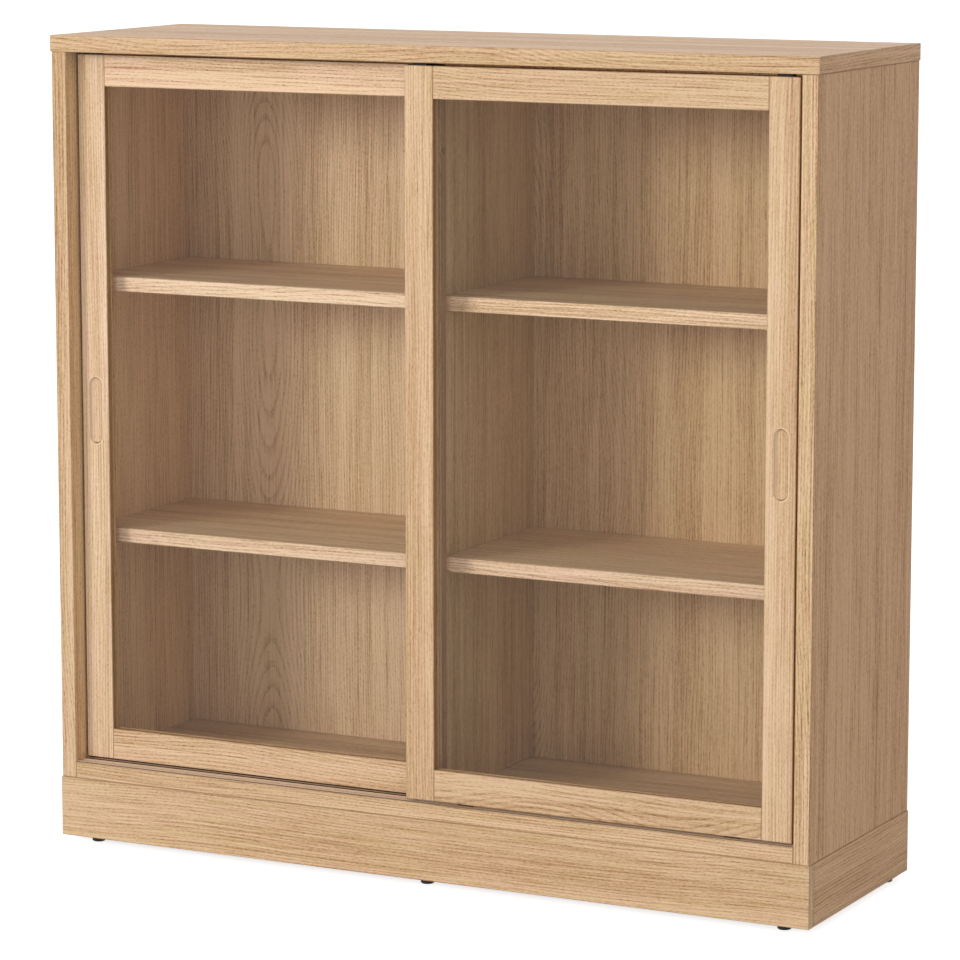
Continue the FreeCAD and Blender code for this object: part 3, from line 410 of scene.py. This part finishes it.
def oak(name, along, across, depth, seed):
    """Oak veneer for one board. Its long edges and its ends are edged with strips of the same veneer."""
    made, tree, shader, _ = material(name)
    point, normal = place_mm(tree)
    low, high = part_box(name)
    halves = [MM * (stop - start) / 2 for start, stop in zip(low, high)]
    point = [
        tree.math("SUBTRACT", part, MM * (start + stop) / 2) for part, start, stop in zip(point, low, high)
    ]
    on_edge = tree.math("GREATER_THAN", tree.math("ABSOLUTE", normal[across]), FACING)
    on_end = tree.math("GREATER_THAN", tree.math("ABSOLUTE", normal[along]), FACING)
    contrast = CONTRASTS.get(name, SIDEWAYS_CONTRAST if along == X else OTHER_CONTRAST)

    pattern = tree.add("Group", node_tree=oak_pattern)
    values = {
        "Across": tree.choose(on_end, tree.choose(on_edge, point[across], point[depth]), point[depth]),
        "Along": tree.choose(on_end, point[along], point[across]),
        "Seed": tree.math("MULTIPLY_ADD", on_edge, EDGE_SEED_STEP, float(seed)),
        "Figured": FIGURED.get(name, 0.0),
        "Contrast": tree.choose(tree.math("MAXIMUM", on_edge, on_end), contrast, EDGE_CONTRAST),
    }
    for key, value in values.items():
        tree.put(pattern.inputs[key], value)

    is_door_frame = name.endswith(("_stile", "_rail"))
    tints = TINTS.get(name, DOOR_TINT_AND_EDGE_SHADE if is_door_frame else (PLAIN,))
    face_tint, edge_tint, end_tint = ((*tint, 1) for tint in (*tints, tints[-1], tints[-1])[:3])
    tint_and_painted_light = tree.mix(on_end, tree.mix(on_edge, face_tint, edge_tint), end_tint)
    colour = tree.mix(1.0, pattern.outputs["Color"], tint_and_painted_light, "MULTIPLY")
    # Painted shade: a dark line along every edge of the board, standing for the shade in the joints between boards.
    colour = tree.mix(tree.scaled(to_nearest_edge(tree, point, halves), 0.3, 1.5, 0.5, 0.0), colour, PAINTED_JOINT_SHADE)
    if is_door_frame and not name.endswith("bottom_rail"):
        # Painted shade: the door's top is darkened, as it lies in the dark gap below the cabinet's top.
        faces_up = tree.math("GREATER_THAN", normal[Z], FACING)
        at_top = tree.math("MULTIPLY", faces_up, tree.math("GREATER_THAN", point[Z], halves[Z] - 1))
        colour = tree.mix(at_top, colour, tree.mix(0.9, colour, GAP_SHADE))
    if name in RECESSED:
        colour = paint_recess_light_and_shade(tree, colour, point, normal)
    tree.put(shader.inputs["Base Color"], colour)
    tree.put(shader.inputs["Roughness"], pattern.outputs["Roughness"])
    shader.inputs["Specular IOR Level"].default_value = 0.25
    add_bump(tree, shader, pattern.outputs["Height"], strength=0.35)
    return made


for name, (along, across, depth, seed) in BOARDS.items():
    dress(name, oak(name, along, across, depth, seed))


# ---- other materials ---------------------------------------------------------------------------

CLOUD_MM = 23.0
DRAW_LINE_MM = (240.0, 0.7)
# Painted shade on the track's walls.
PAINTED_GROOVE_SHADE = rgb(88, 58, 32)


def speckled(name, light, dark, size_mm, roughness, metal=0.0, stretch=(1, 1, 1), bump=0.15):
    """A material that varies a little in colour, roughness and height, in grains of the given size."""
    made, tree, shader, _ = material(name)
    point, _ = place_mm(tree)
    grain = tree.noise(tree.shrunk(point, *(size_mm * pull for pull in stretch)), 3.0, 0.6)
    cloud = tree.noise(tree.shrunk(point, CLOUD_MM, CLOUD_MM, CLOUD_MM), 1.0)
    share = tree.scaled(tree.math("MULTIPLY_ADD", cloud, 0.4, tree.math("MULTIPLY", grain, 0.6)), 0.3, 0.7)
    tree.put(shader.inputs["Base Color"], tree.mix(share, light, dark))
    tree.put(shader.inputs["Roughness"], tree.scaled(grain, 0.3, 0.7, roughness - 0.06, roughness + 0.08))
    shader.inputs["Metallic"].default_value = metal
    add_bump(tree, shader, grain, strength=bump)
    return made


def track_profile():
    """Champagne plastic with fine lengthwise draw lines, and with painted shade on its walls."""
    made, tree, shader, _ = material("champagne_track")
    point, normal = place_mm(tree)
    cross = point[Y]
    lines = tree.noise(tree.shrunk(point[:Z], *DRAW_LINE_MM))
    unshaded = tree.mix(tree.scaled(lines, 0.35, 0.65), rgb(250, 224, 198), rgb(238, 210, 182))
    # Painted shade: the walls are darkest in the joint along the track's front, and from the middle of the track to its
    # back.
    is_wall = tree.math("GREATER_THAN", tree.math("ABSOLUTE", normal[Y]), 0.5)
    front, back = (MM * corner[Y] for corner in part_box("bottom_track"))
    in_joint = tree.scaled(cross, front, front + 1, 0.9, 0.0)
    further_back = tree.scaled(cross, front + 12, (front + back) / 2 - 4, 0.35, 1.0)
    groove_shade = tree.math("MULTIPLY", is_wall, tree.math("MAXIMUM", further_back, in_joint))
    tree.put(shader.inputs["Base Color"], tree.mix(groove_shade, unshaded, PAINTED_GROOVE_SHADE))
    tree.put(shader.inputs["Roughness"], tree.scaled(lines, 0.3, 0.7, 0.54, 0.66))
    shader.inputs["Specular IOR Level"].default_value = 0.06
    add_bump(tree, shader, lines, strength=0.05)
    return made


def see_through(name, colour, ior, roughness, film_mm):
    """Glass or clear rubber. Light passes straight through it, so that it casts no dark shadow."""
    made, tree, shader, output = material(name)
    shader.inputs["Base Color"].default_value = colour
    shader.inputs["Transmission Weight"].default_value = 1.0
    shader.inputs["IOR"].default_value = ior
    point, _ = place_mm(tree)
    film = tree.noise(tree.shrunk(point, film_mm, film_mm, film_mm))
    tree.put(shader.inputs["Roughness"], tree.scaled(film, 0.35, 0.7, *roughness))
    through = tree.add("BsdfTransparent", {"Color": colour})
    path = tree.add("LightPath")
    lets_light = tree.math("MAXIMUM", path.outputs["Is Shadow Ray"], path.outputs["Is Diffuse Ray"])
    pane = tree.add("MixShader", {0: lets_light, 1: shader.outputs[0], 2: through.outputs[0]})
    tree.put(output.inputs["Surface"], pane.outputs[0])
    return made


softwood = speckled("softwood", rgb(222, 190, 148), rgb(200, 160, 112), size_mm=2.2, roughness=0.62, stretch=(1, 1, 30))
beech = speckled("beech", rgb(222, 184, 146), rgb(198, 152, 112), size_mm=1.6, roughness=0.6, stretch=(8, 8, 8))
dark_plastic = speckled("dark_plastic", rgb(34, 31, 29), rgb(22, 20, 19), size_mm=0.8, roughness=0.5)
black_glide = speckled("black_glide", rgb(30, 30, 31), rgb(18, 18, 19), size_mm=0.9, roughness=0.45)
dark_nylon = speckled("dark_nylon", rgb(40, 35, 31), rgb(26, 23, 21), size_mm=1.2, roughness=0.45, bump=0.08)
zinc = speckled("zinc_hardware", rgb(196, 197, 198), rgb(168, 170, 173), size_mm=0.7, roughness=0.32, metal=1.0)
zinc_bracket = speckled("zinc_bracket", rgb(190, 191, 192), rgb(160, 162, 165), size_mm=1.6, roughness=0.38, metal=1.0)
glass = see_through("clear_glass", (0.97, 0.98, 0.975, 1), ior=1.4, roughness=(0.0, 0.02), film_mm=160.0)
clear_bumper = see_through("clear_bumper", (0.95, 0.95, 0.94, 1), ior=1.2, roughness=(0.1, 0.25), film_mm=2.0)

CABINET_FITTINGS = {
    softwood: ["plinth_blocks", "plinth_brace"],
    beech: ["carcass_dowels", "plinth_dowels"],
    dark_plastic: ["top_track"],
    black_glide: ["feet"],
    zinc: [
        "cam_bolts", "cam_discs", "divider_screws", "foot_nails", "plinth_block_screws", "plinth_floor_screws",
        "shelf_pins", "wall_bracket_screws",
    ],
    zinc_bracket: ["wall_brackets"],
    track_profile(): ["bottom_track"],
}
DOOR_FITTINGS = {
    beech: ["dowels"],
    dark_plastic: ["top_guides"],
    dark_nylon: ["left_roller", "right_roller", "roller_housings"],
    zinc: ["guide_screws", "roller_axles"],
    glass: ["glass"],
    clear_bumper: ["bumpers"],
}
for made, names in CABINET_FITTINGS.items():
    for name in names:
        dress(name, made)
for door in DOORS:
    for made, names in DOOR_FITTINGS.items():
        for name in names:
            dress(f"{door}_{name}", made)


# ---- floor, world and lamps --------------------------------------------------------------------

WHITE = (1, 1, 1, 1)
FLOOR_GREY = (0.8, 0.8, 0.8, 1)
FLOOR_REACH = 60.0
# What the floor gives off by itself: towards the camera, where it lifts the lit grey to white, and in mirrors.
FLOOR_LIFT = 0.76
FLOOR_IN_MIRRORS = 0.6
# What the world lights the object with. The camera, mirrors and glass see it white.
WORLD_LIGHT = 0.55


def plain_floor():
    mesh = bpy.data.meshes.new("floor")
    corners = [(x * FLOOR_REACH, y * FLOOR_REACH, 0) for x, y in ((-1, -1), (1, -1), (1, 1), (-1, 1))]
    mesh.from_pydata(corners, [], [(0, 1, 2, 3)])
    floor = bpy.data.objects.new("floor", mesh)
    scene.collection.objects.link(floor)
    made = bpy.data.materials.new("plain_floor")
    made.use_nodes = True
    made.node_tree.nodes.clear()
    tree = Tree(made.node_tree)
    path = tree.add("LightPath")
    seen = tree.math("MAXIMUM", path.outputs["Is Camera Ray"], path.outputs["Is Transmission Ray"])
    lift = tree.add("Emission", {"Color": WHITE, "Strength": tree.math("MULTIPLY", seen, FLOOR_LIFT)})
    matte = tree.add("BsdfDiffuse", {"Color": FLOOR_GREY})
    lit = tree.add("AddShader", {0: matte.outputs[0], 1: lift.outputs[0]})
    mirrored = tree.add("Emission", {"Color": WHITE, "Strength": FLOOR_IN_MIRRORS})
    surface = tree.add(
        "MixShader", {0: path.outputs["Is Glossy Ray"], 1: lit.outputs[0], 2: mirrored.outputs[0]}
    )
    tree.add("OutputMaterial", {"Surface": surface.outputs[0]})
    mesh.materials.append(made)


def plain_world():
    world = bpy.data.worlds.new("studio")
    scene.world = world
    world.use_nodes = True
    world.node_tree.nodes.clear()
    tree = Tree(world.node_tree)
    path = tree.add("LightPath")
    in_glass = tree.math("MAXIMUM", path.outputs["Is Glossy Ray"], path.outputs["Is Transmission Ray"])
    seen = tree.math("MAXIMUM", path.outputs["Is Camera Ray"], in_glass)
    strength = tree.scaled(seen, 0.0, 1.0, WORLD_LIGHT, 1.0)
    background = tree.add("Background", {"Color": WHITE, "Strength": strength})
    tree.add("OutputWorld", {"Surface": background.outputs[0]})


def softbox(name, place, aim, side, power, spread=180):
    """A square lamp that points at its aim. Mirrors and glass don't show it."""
    lamp = bpy.data.lights.new(name, "AREA")
    lamp.spread = math.radians(spread)
    lamp.shape = "SQUARE"
    lamp.size = side
    lamp.energy = power
    box = bpy.data.objects.new(name, lamp)
    box.location = place
    box.rotation_euler = (Vector(aim) - Vector(place)).to_track_quat("-Z", "Y").to_euler()
    scene.collection.objects.link(box)
    box.visible_glossy = False
    box.visible_transmission = False


plain_floor()
plain_world()
softbox("key", place=(-4.7, -8.5, 3.2), aim=(0, 0, 1.5), side=2.6, power=47, spread=60)
softbox("fill", place=(0.6, -9.6, 1.6), aim=(0, 0, 0.6), side=4.0, power=90)

scene.view_settings.view_transform = "Standard"
